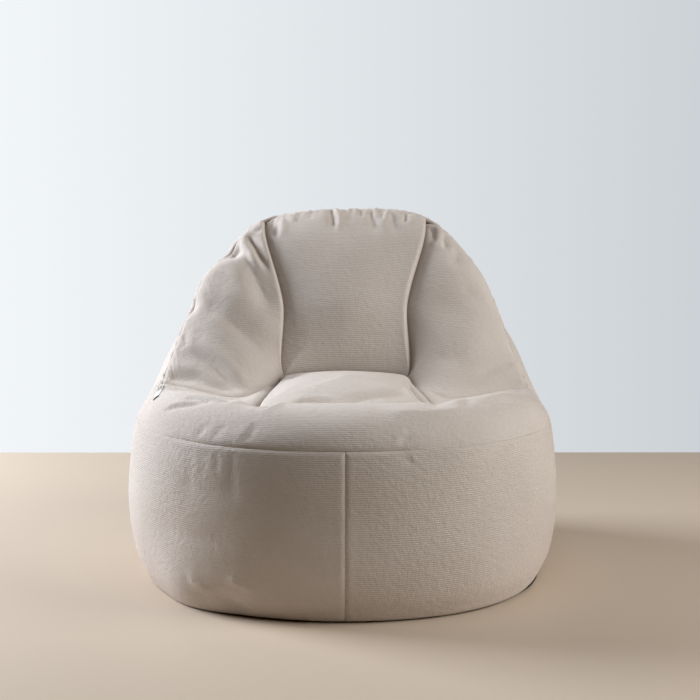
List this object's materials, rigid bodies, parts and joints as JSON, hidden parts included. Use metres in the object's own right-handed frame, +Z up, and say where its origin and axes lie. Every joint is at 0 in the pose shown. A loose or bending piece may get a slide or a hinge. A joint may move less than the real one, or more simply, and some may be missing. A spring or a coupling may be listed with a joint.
{
  "type": "bean bag chair",
  "caption": "Round bean bag chair with a raised wing back, a rolled seat lip, a sewn plush cover, a zipped inner liner and a flat dark base.",
  "frame": {"origin": "on the floor, under the middle of the chair's width and depth", "axes": "+Z up, the front of the seat faces -Y, +X to the right when the chair is seen from the front"},
  "size_m": [0.8502, 0.8521, 0.7046],
  "materials": {
    "plush_cover": "matte",
    "base_cloth": "matte",
    "liner_cloth": "matte",
    "polystyrene_beads": "matte",
    "zip_tape": "matte",
    "zip_teeth": "satin",
    "zip_metal": "satin",
    "woven_label": "satin"
  },
  "bodies": {
    "chair": {"front_panel_right": "plush_cover", "front_panel_left": "plush_cover", "seat_lip": "plush_cover", "seat_panel": "plush_cover", "wing_panel_right": "plush_cover", "wing_panel_left": "plush_cover", "back_rest_panel": "plush_cover", "outer_back_right": "plush_cover", "outer_back_left": "plush_cover", "base_panel": "base_cloth", "inner_liner": "liner_cloth", "bead_fill": "polystyrene_beads", "side_label": "woven_label", "zip_garage": "plush_cover", "cover_zip_tape_right": "zip_tape", "cover_zip_tape_left": "zip_tape", "cover_zip_teeth_right": "zip_teeth", "cover_zip_teeth_left": "zip_teeth", "cover_zip_bottom_stop": "zip_metal", "cover_zip_top_stop": "zip_metal", "liner_zip_tape_right": "zip_tape", "liner_zip_tape_left": "zip_tape", "liner_zip_teeth_right": "zip_teeth", "liner_zip_teeth_left": "zip_teeth", "liner_zip_bottom_stop": "zip_metal", "liner_zip_top_stop": "zip_metal"},
    "cover_slider": {"cover_zip_slider": "zip_metal"},
    "liner_slider": {"liner_zip_slider": "zip_metal"}
  },
  "joints": [
    {"name": "cover_zip_slide", "type": "slide", "parent": "chair", "child": "cover_slider", "axis": [0, -0.1045, 0.9945], "range_m": [0, 0.339]},
    {"name": "liner_zip_slide", "type": "slide", "parent": "chair", "child": "liner_slider", "axis": [0, -0.1045, 0.9945], "range_m": [0, 0.274]}
  ]
}
